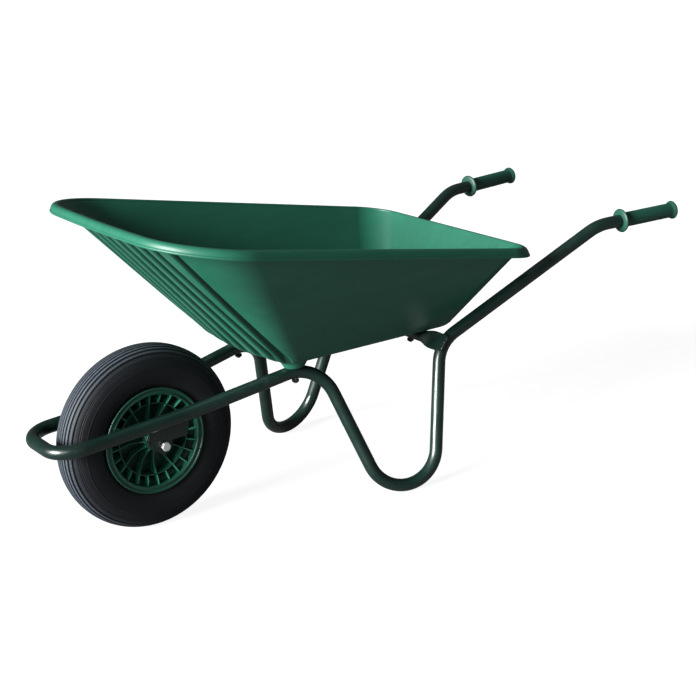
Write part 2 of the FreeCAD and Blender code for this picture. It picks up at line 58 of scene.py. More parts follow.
# Everything is in metres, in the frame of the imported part: +X runs from the
# wheel to the grips, -Y is the user's left and +Z is up from the ground.

AXLE = (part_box("tyre")[0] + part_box("tyre")[1]) / 2
WHEEL_R = AXLE.z
UP = Vector((0, 0, 1))
ACROSS = Vector((0, 1, 0))
SIDES = ((-1, "left"), (1, "right"))

# A lathed profile starts and ends this far from its axis.
ON_AXIS = 0.0001

# ---- frame tube ----
TUBE_R = 0.014
NOSE = Vector((-0.7097, 0.081, 0.2297))
SIDE = Vector((-0.431, 0.082, 0.2437))
HUMP = Vector((-0.140, 0.1175, 0.2887))
LEG_APEX = Vector((-0.014, 0.296, -0.19928))
KNEE = Vector((0.124, 0.1835, 0.280))
SHOULDER = Vector((0.514, 0.254, 0.470))
GRIP_END = Vector((0.7185, 0.274, 0.469))
BENDS = (0.300, 0.084, 0.078, 0.082, 0.108)
NOSE_BEND = 0.056
BEND_STEP = radians(4)
BEND_OVAL = 0.045

# ---- rear cross tube ----
CROSS_R = 0.0127
CROSS = Vector((0.11835, 0.0, 0.2850))
CROSS_ROUND_Y = 0.130
CROSS_FLAT_Y = 0.166
CROSS_END_Y = 0.204
FLAT_HALF_H = 0.020
FLAT_HALF_T = 0.002
FLAT_TILT = radians(49.8)
FLAT_ALONG = Vector((cos(FLAT_TILT), 0, sin(FLAT_TILT)))
FLAT_ACROSS = Vector((-sin(FLAT_TILT), 0, cos(FLAT_TILT)))
CROSS_WELD_R = 0.0022

# ---- axle ----
BRACKET_Y = 0.074
BRACKET_T = 0.004
BRACKET_TIP_R = 0.0173
BRACKET_WELD_R = 0.0019
BRACKET_WELD_LIFT = 0.0004
AXLE_R = 0.005
AXLE_END = 0.014
AXLE_PITCH = 0.0015
AXLE_HEX = 0.016
AXLE_HEX_FACE_R = 0.0077
AXLE_HEAD_T = 0.007
AXLE_NUT_T = 0.0072
AXLE_WASHER_T = 0.0025
AXLE_WASHER_R = 0.0105
SPACER_Y = 0.0436
SPACER_R = 0.010

# ---- tyre and wheel ----
TYRE_HALF_W = 0.0435
TYRE_SECTION_R = 0.050
TYRE_SQUARENESS = 2.3
TYRE_LAST_ANGLE = 2.42
TREAD_PITCH = 0.0072
TREAD_GROOVES = 10
TREAD_DEPTH = 0.0019
TREAD_HALF_W = 0.036
SHOULDER_LINES = (0.1645, 0.1675)
SIDEWALL_RINGS = (0.1155, 0.1185, 0.1510)
TYRE_WALL = 0.0065
TYRE_STEPS = 230
BEAD_SEAT_R = 0.100
FLANGE_R = 0.1095
BARREL_R = 0.095
DROP_R = 0.086
RING_R = 0.075
HUB_R = 0.021
HUB_HALF_W = 0.040
BLADES = 24
BLADE_T = 0.0024
BUSH_START = 0.012
BUSH_R = 0.0109
BUSH_FLANGE_R = 0.017
BUSH_FLANGE_T = 0.003

# ---- tray ----
# Outlines at the rim and the base: x of the front and rear (xf, xr), half widths
# (wf, wr) and corner radii (rf, rr) there, forward bow, and height z0 + dz * x.
RIM = dict(xf=-0.521, bow=0.010, wf=0.305, xr=0.3095, wr=0.2735, rf=0.134, rr=0.062,
           z0=0.5289, dz=-0.209)
BASE = dict(xf=-0.244, bow=0.015, wf=0.162, xr=0.207, wr=0.144, rf=0.034, rr=0.052,
            z0=0.3023, dz=-0.0445)
WALL = 0.0042
# Shares of the wall's height, 0 at the base and 1 at the rim.
FLOOR_T = 0.0165
INSIDE_LOW_T = 0.075
OUTSIDE_LOW_T = 0.055
# How far up their own runs the inside and outside of the wall reach.
INSIDE_TOP = 0.982
OUTSIDE_TOP = 0.945
WALL_STEPS = 51
BASE_STEPS = 10
FRONT_COLUMNS = 420
CORNER_COLUMNS = 150
SIDE_COLUMNS = 24
FLUTE_PITCH = 0.049
FLUTE_COUNT = 7
FLUTE_MOUTH = 0.031
FLUTE_FLOOR = 0.0245
FLUTE_DEPTH = 0.0120
FLUTE_SPREAD = 0.94
CORNER_FLUTE = (0.1627, 0.2127)
CORNER_FLUTE_MOUTH = 0.024
CORNER_FLUTE_FLOOR = 0.011

# ---- tray fixings and feet ----
TRAY_WASHER_R = 0.015
TRAY_WASHER_HOLE_R = 0.0043
TRAY_WASHER_HALF_T = 0.001
TRAY_BOLT_R = 0.0039
TRAY_HEAD_R = 0.0098
TRAY_HEAD_T = 0.0044
TRAY_NUT_HEX = 0.013
TRAY_NUT_FACE_R = 0.0062
TRAY_NUT_T = 0.0065
# (share of the foot's height, how far it is flared there)
FOOT_FLARE = ((0.0, -0.0018), (0.06, -0.0004), (0.2, 0.0012), (0.45, 0.0042),
              (0.7, 0.0078), (0.88, 0.0125), (1.0, 0.0185))

# ---- grips ----
GRIP_R = 0.0160
GRIP_LEN = 0.143
COLLAR_R = 0.026
END_FLANGE_R = 0.0203
GRIP_RIBS = 46

# ---- camera and stage ----
CAMERA_YAW = radians(33.93)
CAMERA_PITCH = radians(18.53)
CAMERA_ROLL = radians(3.80)
CAMERA_OFFSET = Vector((-1.7638, -2.6441, 0.9989))
LENS = 80.37
PAPER_GLOW = 0.90
FLOOR_REACH = 40.0
FLOOR_Z = -0.0003


# ==== mesh helpers ====

def on_side(p, side):
    """The point on one side: -1 is the user's left and 1 the right."""
    return Vector((p.x, side * p.y, p.z))


def turns(count):
    """Angles evenly spaced round a circle."""
    return [2 * pi * j / count for j in range(count)]


def powered(value, power):
    """A power of a number that keeps its sign."""
    return copysign(abs(value) ** power, value)


def middle_of(box):
    low, high = box
    return (low + high) / 2


def smoothstep(low, high, x):
    t = min(1.0, max(0.0, (x - low) / (high - low)))
    return t * t * (3 - 2 * t)


def make_object(name, verts, faces, sharp_deg=40):
    mesh = bpy.data.meshes.new(name)
    mesh.from_pydata(verts, [], faces)
    mesh.validate()
    mesh.polygons.foreach_set("use_smooth", [True] * len(mesh.polygons))
    mesh.set_sharp_from_angle(angle=radians(sharp_deg))
    made = bpy.data.objects.new(name, mesh)
    bpy.context.scene.collection.objects.link(made)
    return made


def skin_faces(rings, count, close_rings, caps):
    """Quads between rings of count points each, and a face over each end."""
    faces = []
    spans = rings if close_rings else rings - 1
    for i in range(spans):
        a = i * count
        b = (i + 1) % rings * count
        for j in range(count):
            k = (j + 1) % count
            faces.append((a + j, a + k, b + k, b + j))
    if caps and not close_rings:
        faces.append(tuple(reversed(range(count))))
        faces.append(tuple(range((rings - 1) * count, rings * count)))
    return faces


def skin(name, rings, close_rings=False, caps=True, sharp_deg=40):
    verts = [p for ring in rings for p in ring]
    faces = skin_faces(len(rings), len(rings[0]), close_rings, caps)
    return make_object(name, verts, faces, sharp_deg)


def join(name, objects):
    """One object from several, with their meshes put together."""
    verts = []
    faces = []
    for o in objects:
        start = len(verts)
        verts += [v.co.copy() for v in o.data.vertices]
        faces += [tuple(start + i for i in p.vertices) for p in o.data.polygons]
        mesh = o.data
        bpy.data.objects.remove(o)
        bpy.data.meshes.remove(mesh)
    return make_object(name, verts, faces)


def across_axes(axis):
    """Two unit directions square to an axis and to each other."""
    axis = axis.normalized()
    helper = UP if abs(axis.z) < 0.9 else Vector((1, 0, 0))
    u = helper.cross(axis).normalized()
    return u, axis.cross(u)


def lathe_rings(profile, origin, axis, segments, shape=None):
    """Rings round an axis; each profile point is (distance along, radius)."""
    axis = axis.normalized()
    u, v = across_axes(axis)
    rings = []
    for along, radius in profile:
        ring = []
        for a in turns(segments):
            r = shape(a, radius) if shape else radius
            ring.append(origin + axis * along + (u * cos(a) + v * sin(a)) * r)
        rings.append(ring)
    return rings


def lathe(name, profile, origin, axis, segments=64, closed=False, shape=None, sharp_deg=40):
    rings = lathe_rings(profile, origin, axis, segments, shape)
    return skin(name, rings, closed, not closed, sharp_deg)


def rounded(points, radius, steps=4):
    """A closed outline with each corner replaced by a small arc."""
    out = []
    count = len(points)
    for i, corner in enumerate(points):
        p = Vector(corner)
        before = Vector(points[i - 1]) - p
        after = Vector(points[(i + 1) % count]) - p
        reach = min(radius, before.length * 0.45, after.length * 0.45)
        a = p + before.normalized() * reach
        b = p + after.normalized() * reach
        for k in range(steps + 1):
            t = k / steps
            out.append(tuple(a * (1 - t) ** 2 + p * (2 * t * (1 - t)) + b * t * t))
    return out


def flat_ring(name, origin, axis, span, bore, outer_r, corner, segments):
    """A washer or sleeve over a (start, end) span of the axis."""
    start, end = span
    edge = rounded([(start, bore), (start, outer_r), (end, outer_r), (end, bore)], corner)
    return lathe(name, edge, origin, axis, segments, True)


def smooth_line(points, steps):
    """Points along a smooth curve through the given ones."""
    out = []
    last = len(points) - 1
    for i in range(last):
        near = (points[min(max(i + k, 0), last)] for k in (-1, 0, 1, 2))
        p0, p1, p2, p3 = (np.array(p, float) for p in near)
        for k in range(steps):
            t = k / steps
            value = 2 * p1 + (p2 - p0) * t + (2 * p0 - 5 * p1 + 4 * p2 - p3) * t * t
            value += (3 * p1 - p0 - 3 * p2 + p3) * t ** 3
            out.append(tuple(value / 2))
    out.append(tuple(points[-1]))
    return out


def bend_path(points, radii):
    """(position, tangent, bend centre direction) along runs joined by bends."""
    first = (points[1] - points[0]).normalized()
    samples = [(points[0], first, None)]
    before = points[0]
    for corner, after, radius in zip(points[1:-1], points[2:], radii):
        back = (before - corner).normalized()
        ahead = (after - corner).normalized()
        half = back.angle(ahead) / 2
        run = radius / tan(half)
        middle = (back + ahead).normalized()
        centre = corner + middle * (radius / sin(half))
        turn = pi - 2 * half
        start = corner + back * run - centre
        plane = back.cross(ahead).normalized()
        steps = max(3, round(turn / BEND_STEP))
        for k in range(steps + 1):
            spin = Matrix.Rotation(-turn * k / steps, 3, plane)
            out = spin @ start
            samples.append((centre + out, spin @ -back, -out.normalized()))
        before = corner
    last = (points[-1] - points[-2]).normalized()
    samples.append((points[-1], last, None))
    return samples


def sweep_rings(samples, radius, segments=40, oval=0.0):
    """Rings along a path, turned as little as possible from one to the next."""
    side, _ = across_axes(samples[0][1])
    rings = []
    for position, tangent, inward in samples:
        side = (side - tangent * side.dot(tangent)).normalized()
        other = tangent.cross(side)
        ring = []
        for a in turns(segments):
            out = side * cos(a) + other * sin(a)
            r = radius
            if inward is not None:
                r *= 1 - oval * out.dot(inward) ** 2
            ring.append(position + out * r)
        rings.append(ring)
    return rings


def plate_mesh(name, outline, origin, u, v, thickness, bevel, segments=3):
    """Flat plate with rounded edges; outline is in (u, v) about origin."""
    w = u.cross(v).normalized() * (thickness / 2)
    corners = [origin + u * a + v * b for a, b in outline]
    count = len(corners)
    verts = [c - w for c in corners] + [c + w for c in corners]
    faces = [tuple(reversed(range(count))), tuple(range(count, 2 * count))]
    faces += [(j, (j + 1) % count, count + (j + 1) % count, count + j) for j in range(count)]
    made = make_object(name, verts, faces, 30)
    edge = made.modifiers.new("edge", "BEVEL")
    edge.width = bevel
    edge.segments = segments
    edge.angle_limit = radians(30)
    return flattened(made)


def flattened(made):
    """Apply an object's modifiers to its mesh."""
    graph = bpy.context.evaluated_depsgraph_get()
    mesh = bpy.data.meshes.new_from_object(made.evaluated_get(graph))
    old = made.data
    made.modifiers.clear()
    made.data = mesh
    bpy.data.meshes.remove(old)
    return made


# ==== materials ====

def link_or_set(tree, socket, value):
    if isinstance(value, bpy.types.NodeSocket):
        tree.links.new(value, socket)
    else:
        socket.default_value = value


def feed(tree, node, **inputs):
    """Set or link a node's inputs, given by name with _ for a space."""
    for key, value in inputs.items():
        link_or_set(tree, node.inputs[key.replace("_", " ")], value)


def add(tree, kind, settings=None, **inputs):
    made = tree.nodes.new("ShaderNode" + kind)
    for key, value in (settings or {}).items():
        setattr(made, key, value)
    feed(tree, made, **inputs)
    return made


def maths(tree, operation, a, b=0.0):
    made = tree.nodes.new("ShaderNodeMath")
    made.operation = operation
    link_or_set(tree, made.inputs[0], a)
    link_or_set(tree, made.inputs[1], b)
    return made.outputs[0]


def times(tree, a, b):
    return maths(tree, "MULTIPLY", a, b)


def ramp(tree, value, low, high, out_low=0.0, out_high=1.0):
    """Map a value from one range to another, smoothly and clamped."""
    settings = {"interpolation_type": "SMOOTHSTEP"}
    made = add(tree, "MapRange", settings)
    for i, item in enumerate((value, low, high, out_low, out_high)):
        link_or_set(tree, made.inputs[i], item)
    return made.outputs[0]


def mixed(tree, factor, a, b):
    """Blend two colours."""
    made = tree.nodes.new("ShaderNodeMix")
    made.data_type = "RGBA"
    link_or_set(tree, made.inputs["Factor"], factor)
    link_or_set(tree, made.inputs[6], a)
    link_or_set(tree, made.inputs[7], b)
    return made.outputs[2]


def grain(tree, place, scale, detail=4.0, rough=0.55):
    made = add(tree, "TexNoise", Vector=place, Scale=scale, Detail=detail, Roughness=rough)
    return made.outputs["Fac"]


def start_material(name):
    made = bpy.data.materials.new(name)
    made.use_nodes = True
    tree = made.node_tree
    shader = tree.nodes["Principled BSDF"]
    place = tree.nodes.new("ShaderNodeTexCoord").outputs["Object"]
    return made, tree, shader, place


def bumps(tree, shader, layers):
    """Stack bump layers; each is (height, strength, distance)."""
    normal = None
    for height, strength, distance in layers:
        made = add(tree, "Bump", Strength=strength, Distance=distance, Height=height)
        if normal is not None:
            tree.links.new(normal, made.inputs["Normal"])
        normal = made.outputs["Normal"]
    tree.links.new(normal, shader.inputs["Normal"])


def stretched(tree, place, scale):
    """Coordinates stretched along some axes, for streaks."""
    made = add(tree, "Mapping", Vector=place)
    made.inputs["Scale"].default_value = scale
    return made.outputs["Vector"]


def dusted(tree, place, cloud, colour, light):
    """The colour with pale specks where the cloud is thick."""
    speck = add(tree, "TexVoronoi", Vector=place, Scale=70.0).outputs["Distance"]
    speck = ramp(tree, speck, 0.05, 0.02)
    dusty = times(tree, speck, ramp(tree, cloud, 0.5, 0.7, 0.0, 0.3))
    pale = tuple(min(1.0, c * 1.8 + 0.02) for c in light[:3]) + (1.0,)
    return mixed(tree, dusty, colour, pale)


def painted_groove_shade(tree, colour):
    """Painted shade: the colour made darker where the mesh is marked as lying in a flute."""
    groove = tree.nodes.new("ShaderNodeAttribute")
    groove.attribute_name = "groove"
    shade = ramp(tree, groove.outputs["Fac"], 0.08, 0.6, 0.0, 0.68)
    return mixed(tree, shade, colour, (0.0, 0.004, 0.002, 1))


def painted_edge_highlight(tree, colour, light, strength):
    """Painted highlight: the colour made lighter along raised edges."""
    edge = tree.nodes.new("ShaderNodeNewGeometry").outputs["Pointiness"]
    edge = ramp(tree, edge, 0.515, 0.575, 0.0, strength)
    return mixed(tree, edge, colour, tuple(c * 4.0 for c in light[:3]) + (1.0,))


def moulded_plastic(name, dark, light, roughness, grain_scale, edge_highlight=0.0):
    """Moulded plastic with a fine grain, faint flow marks and light scuffs, painted shade in the
    flutes and, where asked, a painted highlight on raised edges.
    """
    made, tree, shader, place = start_material(name)
    cloud = grain(tree, place, 3.0, 3.0)
    flow = grain(tree, stretched(tree, place, (3.0, 14.0, 14.0)), 2.4, 5.0, 0.6)
    tone = maths(tree, "ADD", times(tree, cloud, 0.6), times(tree, flow, 0.4))
    colour = mixed(tree, ramp(tree, tone, 0.36, 0.64), dark, light)
    colour = dusted(tree, place, cloud, colour, light)
    # Painted shade: darker colour where the mesh lies in a flute.
    colour = painted_groove_shade(tree, colour)
    # Painted highlight along raised edges, where asked.
    if edge_highlight:
        colour = painted_edge_highlight(tree, colour, light, edge_highlight)
    scuff = grain(tree, stretched(tree, place, (40.0, 6.0, 9.0)), 6.0, 6.0, 0.7)
    worn = ramp(tree, scuff, 0.62, 0.72, 0.0, 0.10)
    fine = grain(tree, place, 320.0, 2.0)
    rough = maths(tree, "ADD", times(tree, fine, 0.10), worn)
    rough = maths(tree, "ADD", rough, roughness - 0.05)
    feed(tree, shader, Base_Color=colour, Roughness=rough, IOR=1.49)
    skin_grain = grain(tree, place, grain_scale, 3.0, 0.6)
    bumps(tree, shader, [(cloud, 0.10, 0.004), (skin_grain, 0.22, 0.0004), (scuff, 0.05, 0.0006)])
    return made


def enamel_paint(name, dark, light):
    """Glossy stoved enamel on steel tube, with a little orange peel."""
    made, tree, shader, place = start_material(name)
    cloud = grain(tree, place, 6.0, 4.0)
    colour = mixed(tree, ramp(tree, cloud, 0.35, 0.65), dark, light)
    dust = grain(tree, place, 55.0, 8.0, 0.7)
    film = times(tree, ramp(tree, dust, 0.56, 0.74), 0.10)
    colour = mixed(tree, film, colour, (0.11, 0.14, 0.12, 1.0))
    smear = ramp(tree, grain(tree, place, 22.0, 5.0, 0.6), 0.3, 0.75, 0.27, 0.42)
    feed(tree, shader, Base_Color=colour, Roughness=smear, Coat_Weight=0.25, Coat_Roughness=0.14)
    peel = grain(tree, place, 260.0, 2.0)
    bumps(tree, shader, [(peel, 0.05, 0.0003), (grain(tree, place, 30.0, 3.0), 0.05, 0.001)])
    return made


def tyre_material(name):
    """Grey-black rubber with a pale dusty film, partly a painted sheen on the tread's rib tops, and
    fine mould lines.
    """
    made, tree, shader, place = start_material(name)
    parts = tree.nodes.new("ShaderNodeSeparateXYZ")
    tree.links.new(place, parts.inputs[0])
    dx = maths(tree, "SUBTRACT", parts.outputs["X"], AXLE.x)
    dz = maths(tree, "SUBTRACT", parts.outputs["Z"], AXLE.z)
    squares = maths(tree, "ADD", times(tree, dx, dx), times(tree, dz, dz))
    radius = maths(tree, "SQRT", squares)
    angle = maths(tree, "ARCTAN2", dz, dx)
    cloud = grain(tree, place, 9.0, 5.0)
    fine = grain(tree, place, 240.0, 4.0, 0.65)
    rubber = mixed(tree, ramp(tree, cloud, 0.3, 0.7),
                   (0.0065, 0.0078, 0.0095, 1), (0.0100, 0.0118, 0.0145, 1))
    # Paler towards the tread and on its rib tops: partly dust, partly a painted sheen that leaves
    # the grooves darker.
    dust_and_sheen = ramp(tree, radius, WHEEL_R - 0.022, WHEEL_R - 0.002, 0.0, 0.55)
    dust_and_sheen = times(tree, dust_and_sheen, ramp(tree, fine, 0.3, 0.7, 0.55, 1.0))
    phase = times(tree, parts.outputs["Y"], 2 * pi / TREAD_PITCH)
    wave = maths(tree, "COSINE", phase)
    rib = times(tree, wave, -1.0 if TREAD_GROOVES % 2 else 1.0)
    dust_and_sheen = times(tree, dust_and_sheen, ramp(tree, rib, -0.3, 0.8))
    colour = mixed(tree, dust_and_sheen, rubber, (0.115, 0.145, 0.185, 1))
    rough = ramp(tree, fine, 0.3, 0.7, 0.52, 0.68)
    feed(tree, shader, Base_Color=colour, Roughness=rough, Specular_IOR_Level=0.22)
    marks = maths(tree, "SINE", times(tree, angle, 360.0))
    near_tread = ramp(tree, radius, WHEEL_R - 0.03, WHEEL_R - 0.012)
    marks = times(tree, marks, near_tread)
    rings = maths(tree, "SINE", times(tree, radius, 2600.0))
    bumps(tree, shader, [(marks, 0.10, 0.0004), (rings, 0.03, 0.0003), (fine, 0.25, 0.0004)])
    return made


def dull_plastic(name, colour, roughness):
    """Plain black plastic or rubber with a fine grain."""
    made, tree, shader, place = start_material(name)
    fine = grain(tree, place, 300.0, 3.0)
    light = tuple(min(1.0, c * 1.5) for c in colour[:3]) + (1.0,)
    tone = mixed(tree, ramp(tree, grain(tree, place, 40.0), 0.35, 0.65), colour, light)
    rough = ramp(tree, fine, 0.3, 0.7, roughness - 0.06, roughness + 0.06)
    feed(tree, shader, Base_Color=tone, Roughness=rough)
    bumps(tree, shader, [(fine, 0.2, 0.0003)])
    return made


def zinc_plate(name, bright, dull):
    """Zinc plating with fine grain and a few dull patches."""
    made, tree, shader, place = start_material(name)
    cloud = grain(tree, place, 60.0, 5.0)
    fine = grain(tree, place, 700.0, 2.0)
    colour = mixed(tree, ramp(tree, cloud, 0.35, 0.7), bright, dull)
    rough = ramp(tree, cloud, 0.3, 0.7, 0.40, 0.58)
    feed(tree, shader, Base_Color=colour, Metallic=0.75, Roughness=rough)
    bumps(tree, shader, [(fine, 0.12, 0.0002), (cloud, 0.08, 0.0004)])
    return made


MATERIALS = {
    "frame_paint": enamel_paint(
        "frame_enamel", (0.0024, 0.0115, 0.0090, 1), (0.0035, 0.0160, 0.0125, 1)),
    "tray_plastic": moulded_plastic(
        "tray_green", (0.010, 0.098, 0.060, 1), (0.014, 0.118, 0.074, 1),
        roughness=0.44, grain_scale=900.0),
    # The wheel's green has a painted highlight along its blade and spoke edges.
    "wheel_plastic": moulded_plastic(
        "wheel_green", (0.007, 0.058, 0.038, 1), (0.010, 0.072, 0.047, 1),
        roughness=0.40, grain_scale=700.0, edge_highlight=0.8),
    "grip_plastic": moulded_plastic(
        "grip_green", (0.005, 0.044, 0.030, 1), (0.007, 0.056, 0.038, 1),
        roughness=0.46, grain_scale=800.0),
    "bush_plastic": dull_plastic("bush_black", (0.012, 0.011, 0.010, 1), roughness=0.5),
    "tube_rubber": dull_plastic("inner_rubber", (0.012, 0.012, 0.012, 1), roughness=0.7),
    "tyre_rubber": tyre_material("tyre_rubber_grey"),
    "zinc_steel": zinc_plate("zinc", (0.92, 0.93, 0.93, 1), (0.80, 0.81, 0.80, 1)),
}
# Painted shade: a darker copy of the zinc for the pieces that look dark where they sit in shade, the
# tray nuts under the tubes and the axle washers and spacers.
ZINC_PAINTED_SHADE = zinc_plate("zinc_painted_shade", (0.045, 0.050, 0.048, 1), (0.022, 0.026, 0.025, 1))


def finish_piece(made, body, slot, *nodes, finish=None):
    """Give a piece its material, chosen by slot unless a finish is given, put it under its body and
    hide the CAD nodes it stands for.
    """
    made.data.materials.clear()
    made.data.materials.append(finish or MATERIALS[slot])
    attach(made, body)
    if nodes:
        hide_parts(*nodes)
    return made


def finish_zinc(made, node, finish=None):
    finish_piece(made, "frame", "zinc_steel", node, finish=finish)


# ==== frame tube ====

def frame_path():
    """The whole tube, from the left grip round the nose to the right grip."""
    half = [GRIP_END, SHOULDER, KNEE, LEG_APEX, HUMP, SIDE, NOSE]
    points = [on_side(p, -1) for p in half] + list(reversed(half))
    radii = list(reversed(BENDS)) + [NOSE_BEND, NOSE_BEND] + list(BENDS)
    return bend_path(points, radii)


def frame_tube():
    made = skin("frame_tube", sweep_rings(frame_path(), TUBE_R, 48, BEND_OVAL))
    nodes = ["frame_hoop", "leg_left", "leg_right", "handle_left", "handle_right"]
    finish_piece(made, "frame", "frame_paint", *nodes)


def weld_bead(name, points, radius, seed):
    """A rippled weld along a line of points."""
    line = [Vector(p) for p in smooth_line([tuple(p) for p in points], 14)]
    samples = []
    for i, p in enumerate(line):
        ahead = line[min(i + 1, len(line) - 1)] - line[max(i - 1, 0)]
        samples.append((p, ahead.normalized(), None))
    rings = []
    last = len(samples) - 1
    for i, ring in enumerate(sweep_rings(samples, radius, 12)):
        centre = samples[i][0]
        uneven = noise.noise(centre * 300 + Vector((seed, 0, 0)))
        ripple = 1 + 0.14 * sin(i * 1.9) + 0.16 * uneven
        ripple *= sqrt(max(0.04, 1 - (2 * i / last - 1) ** 8))
        rings.append([centre + (p - centre) * ripple for p in ring])
    return skin(name, rings)


def oval_ring(y, half_h, half_t, power, segments):
    """Ring of the cross tube at y; a power below 1 squares it off."""
    ring = []
    for a in turns(segments):
        along = FLAT_ALONG * (half_h * powered(cos(a), power))
        across = FLAT_ACROSS * (half_t * powered(sin(a), power))
        ring.append(CROSS + ACROSS * y + along + across)
    return ring


def cross_tube():
    """Round in the middle and pressed flat at both ends."""
    stations = [0.0, 0.06, 0.12]
    pressed = CROSS_FLAT_Y - CROSS_ROUND_Y
    stations += [CROSS_ROUND_Y + pressed * k / 14 for k in range(15)]
    stations += [CROSS_FLAT_Y + 0.012, CROSS_END_Y - 0.003, CROSS_END_Y - 0.0012, CROSS_END_Y]
    rings = []
    for y in [-s for s in reversed(stations)] + stations[1:]:
        flat = smoothstep(CROSS_ROUND_Y, CROSS_FLAT_Y, abs(y))
        half_h = CROSS_R + (FLAT_HALF_H - CROSS_R) * flat
        half_t = CROSS_R + (FLAT_HALF_T - CROSS_R) * flat
        end = smoothstep(CROSS_END_Y - 0.004, CROSS_END_Y, abs(y))
        power = 1.0 - 0.45 * flat
        rings.append(oval_ring(y, half_h - 0.0022 * end, half_t - 0.0007 * end, power, 64))
    made = skin("rear_cross_tube", rings)
    finish_piece(made, "frame", "frame_paint", "cross_tube")


def cross_welds():
    """Welds where the flattened ends lie on the knee bends."""
    for side, name in SIDES:
        y = side * (CROSS_END_Y - 0.0006)
        points = []
        for k in range(5):
            reach = -0.017 + 0.0085 * k
            points.append(CROSS + ACROSS * y + FLAT_ALONG * reach - FLAT_ACROSS * CROSS_WELD_R)
        made = weld_bead("cross_weld_" + name, points, CROSS_WELD_R, 3.0 * side)
        finish_piece(made, "frame", "frame_paint")


# ==== axle hardware ====

def hexagonal(across_flats):
    """Ring shape: never outside a hexagon of that size."""
    def shape(angle, radius):
        part = (angle % (pi / 3)) - pi / 6
        return min(radius, across_flats / 2 / cos(part))
    return shape


def bracket_outline():
    """(x, z) from the axle: down the front edge, round the tip, up the rear."""
    front = [(-0.0275, 0.046), (-0.027, -0.002), (-0.0255, -0.0055), (-0.022, -0.0075)]
    angles = [radians(208 + 142 * k / 12) for k in range(13)]
    tip = [(BRACKET_TIP_R * cos(a), BRACKET_TIP_R * sin(a)) for a in angles]
    rear = [(0.0178, 0.005), (0.0192, 0.0075), (0.022, 0.008), (0.050, 0.0082),
            (0.0535, 0.011), (0.058, 0.029), (0.0595, 0.045)]
    return front + tip + rear


def bracket(side, name):
    """Axle plate under the side tube, with a weld on each face."""
    y = side * (BRACKET_Y + BRACKET_T / 2)
    made = plate_mesh("bracket_" + name, bracket_outline(), AXLE + ACROSS * y,
                      Vector((1, 0, 0)), UP, BRACKET_T, 0.0007)
    finish_piece(made, "frame", "frame_paint", "axle_bracket_" + name)
    to_face = BRACKET_T / 2 + BRACKET_WELD_LIFT
    for face, offset in (("outer", to_face), ("inner", -to_face)):
        weld_y = y + side * offset
        points = []
        for k in range(6):
            x = AXLE.x - 0.024 + 0.0155 * k
            share = (x - NOSE.x) / (SIDE.x - NOSE.x)
            centre = on_side(NOSE + (SIDE - NOSE) * share, side)
            drop = sqrt(max(0.0, TUBE_R ** 2 - (weld_y - centre.y) ** 2))
            points.append(Vector((x, weld_y, centre.z - drop + BRACKET_WELD_LIFT)))
        made = weld_bead("bracket_weld_" + face + "_" + name, points, BRACKET_WELD_R, 5.0 * side)
        finish_piece(made, "frame", "frame_paint")


def hex_profile(length, chamfer_r, across_flats, both=False):
    """Profile for a hexagon with a chamfered end, from its seat outwards."""
    corner = across_flats / sqrt(3) + 0.0001
    drop = (corner - chamfer_r) * tan(radians(30))
    low = [(0.0, ON_AXIS), (0.0, corner)]
    if both:
        low = [(0.0, ON_AXIS), (0.0, chamfer_r), (drop, corner)]
    steps = 6
    top = [(length - drop * (1 - k / steps), corner + (chamfer_r - corner) * k / steps)
           for k in range(steps + 1)]
    return low + top + [(length, chamfer_r - 0.0008), (length, ON_AXIS)]


def axle_bolt(seat):
    """Bolt with its head at the left, and thread beyond the right washer."""
    start = AXLE - ACROSS * seat
    head = lathe("bolt_head", hex_profile(AXLE_HEAD_T, AXLE_HEX_FACE_R, AXLE_HEX), start,
                 -ACROSS, 72, shape=hexagonal(AXLE_HEX))
    end = seat + AXLE_END
    shank = [(0.0, ON_AXIS), (0.0, AXLE_R), (2 * seat, AXLE_R)]
    for k in range(9):
        turn = 2 * seat + AXLE_PITCH * k
        shank += [(turn + 0.0004, AXLE_R - 0.0007), (turn + 0.0012, AXLE_R)]
    shank += [(seat + end - 0.0008, AXLE_R - 0.0009), (seat + end - 0.0001, AXLE_R - 0.0016),
              (seat + end, ON_AXIS)]
    body = lathe("bolt_shank", shank, start, ACROSS, 40)
    finish_zinc(join("axle_bolt_zinc", [head, body]), "axle_bolt")


def axle_nut(seat):
    """Lock nut with a round collar, at the right."""
    start = AXLE + ACROSS * seat
    nut = lathe("nut_hex", hex_profile(AXLE_NUT_T, AXLE_HEX_FACE_R, AXLE_HEX), start,
                ACROSS, 72, shape=hexagonal(AXLE_HEX))
    edge = [(0.0068, 0.005), (0.0068, 0.0074), (0.0096, 0.0074), (0.0105, 0.0066),
            (0.0105, 0.0052)]
    collar = lathe("nut_collar", edge, start, ACROSS, 48)
    finish_zinc(join("axle_nut_zinc", [nut, collar]), "axle_nut")


def axle_hardware():
    face = BRACKET_Y + BRACKET_T
    seat = face + AXLE_WASHER_T
    bore = AXLE_R + 0.0003
    axle_bolt(seat)
    axle_nut(seat)
    for side, name in SIDES:
        out = ACROSS * side
        made = flat_ring("axle_washer_zinc_" + name, AXLE, out, (face, seat), bore,
                         AXLE_WASHER_R, 0.0005, 64)
        # The washers and spacers take the darker zinc copy, painted shade.
        finish_zinc(made, "axle_washer_" + name, finish=ZINC_PAINTED_SHADE)
        made = flat_ring("spacer_sleeve_" + name, AXLE, out, (SPACER_Y, BRACKET_Y), bore,
                         SPACER_R, 0.0006, 56)
        finish_zinc(made, "spacer_" + name, finish=ZINC_PAINTED_SHADE)


# ==== wheel ====

def wheel_ring(name, outline, segments=192, radius=0.0006):
    """Ring round the axle from a closed (y, radius) outline."""
    return lathe(name, rounded(outline, radius), AXLE, ACROSS, segments, True)


